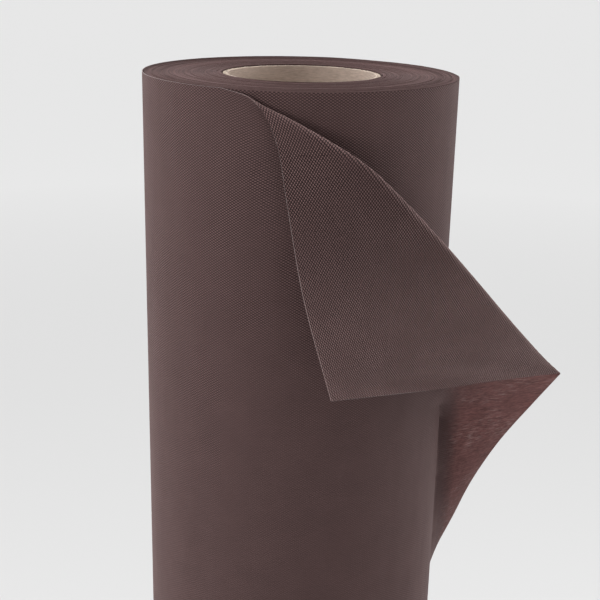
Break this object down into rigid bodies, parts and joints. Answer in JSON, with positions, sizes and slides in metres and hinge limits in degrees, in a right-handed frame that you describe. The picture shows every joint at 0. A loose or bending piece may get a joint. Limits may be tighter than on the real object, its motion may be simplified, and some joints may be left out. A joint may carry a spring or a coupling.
{
  "type": "roll of weed control fabric",
  "caption": "Upright roll of brown nonwoven fabric on a paper core; its free end hangs loose with the top corner folded over.",
  "frame": {"origin": "on the floor, under the middle of the bounding box of the whole object (the roll's axis is 30.8 mm towards -X and 20.2 mm towards +Y of it)", "axes": "+Z along the roll's axis, upwards; the folded corner faces -Y and the free end points to +X"},
  "size_m": [0.2234, 0.2023, 1],
  "materials": {
    "fabric_outside": "spunbonded nonwoven, dark brown, fine diamond emboss, matt",
    "fabric_inside": "spunbonded nonwoven, dark brown, fine diamond emboss, matt, seen from its inner side",
    "core_liner": "smooth grey-beige kraft paper",
    "core_board": "rough kraft board",
    "tape": "clear-beige packing tape"
  },
  "bodies": {
    "roll": {"core_inner_ply": "core_liner", "core_middle_ply": "core_board", "core_outer_ply": "core_board", "start_tape": "tape", "wound_fabric": "fabric_outside"},
    "outer_turn": {"outer_wrap": "fabric_outside"},
    "free_end": {"free_end": "fabric_outside"},
    "folded_corner": {"folded_corner": "fabric_inside"}
  },
  "joints": [
    {"name": "unwind", "type": "hinge", "parent": "roll", "child": "outer_turn", "pos_m": [-0.03076, 0.02016, 0.5], "axis": [0, 0, 1], "continuous": true},
    {"name": "free_end_peel", "type": "hinge", "parent": "outer_turn", "child": "free_end", "pos_m": [-0.06681, -0.05215, 0.5], "axis": [0, 0, -1], "range_deg": [0, 60]},
    {"name": "corner_fold", "type": "hinge", "parent": "free_end", "child": "folded_corner", "pos_m": [0.04346, -0.048, 0.912], "axis": [-0.6697, -0.3504, 0.6548], "range_deg": [0, 30]}
  ]
}
